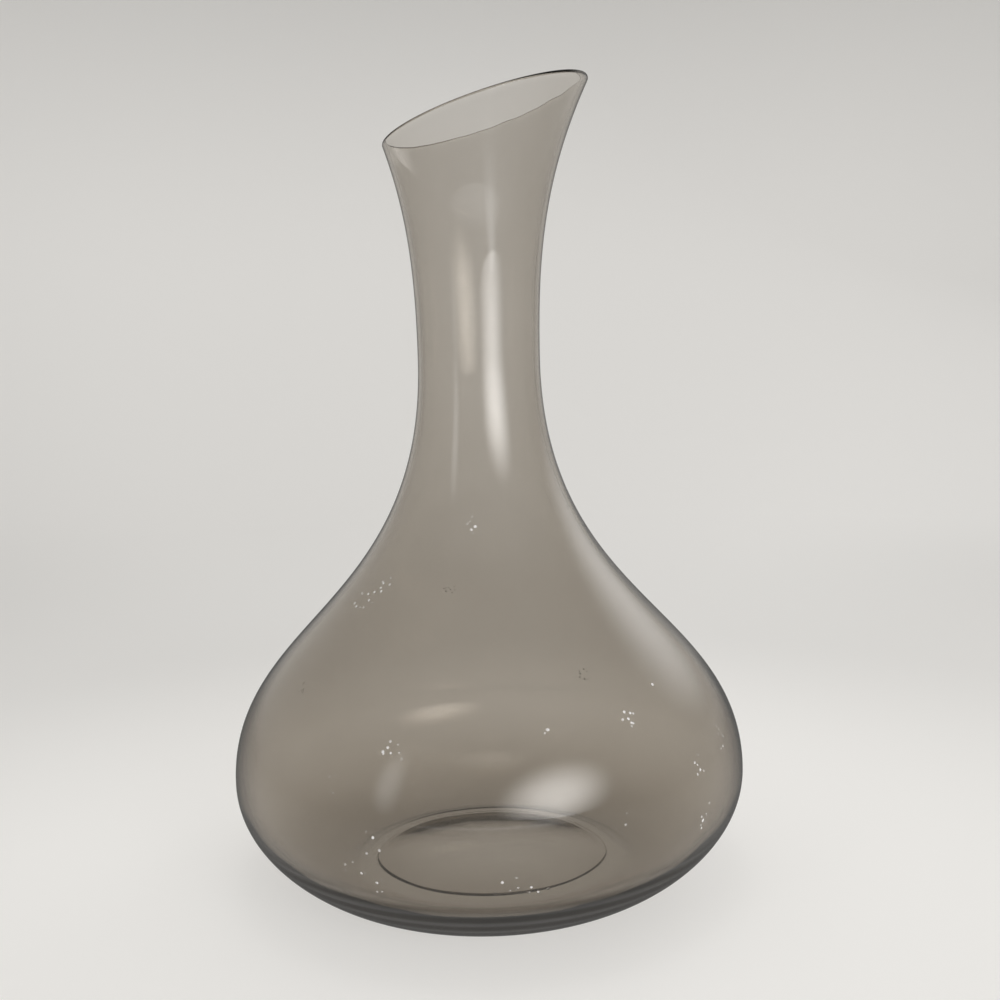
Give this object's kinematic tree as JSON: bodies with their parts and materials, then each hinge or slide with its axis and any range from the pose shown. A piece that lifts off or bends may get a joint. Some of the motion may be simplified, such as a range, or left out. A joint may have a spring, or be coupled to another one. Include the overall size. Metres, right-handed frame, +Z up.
{
  "type": "water carafe",
  "caption": "One-piece blown smoke-grey glass carafe: a wide low bowl, a long waisted neck and a flared mouth cut on a slope, for holding, airing and pouring a drink.",
  "frame": {"origin": "centre of the standing ring, on the surface that the carafe stands on", "axes": "+Z up along the vessel's axis; +X towards the tall pouring side of the slanted mouth; +Y to the left of the pour"},
  "size_m": [0.19, 0.19, 0.294],
  "materials": {
    "smoked_glass": "polished, clear, smoke grey through the whole thickness"
  },
  "bodies": {
    "root": {"base": "smoked_glass", "lower_bowl": "smoked_glass", "upper_bowl": "smoked_glass", "shoulder": "smoked_glass", "lower_neck": "smoked_glass", "upper_neck": "smoked_glass", "lip": "smoked_glass"}
  },
  "joints": []
}
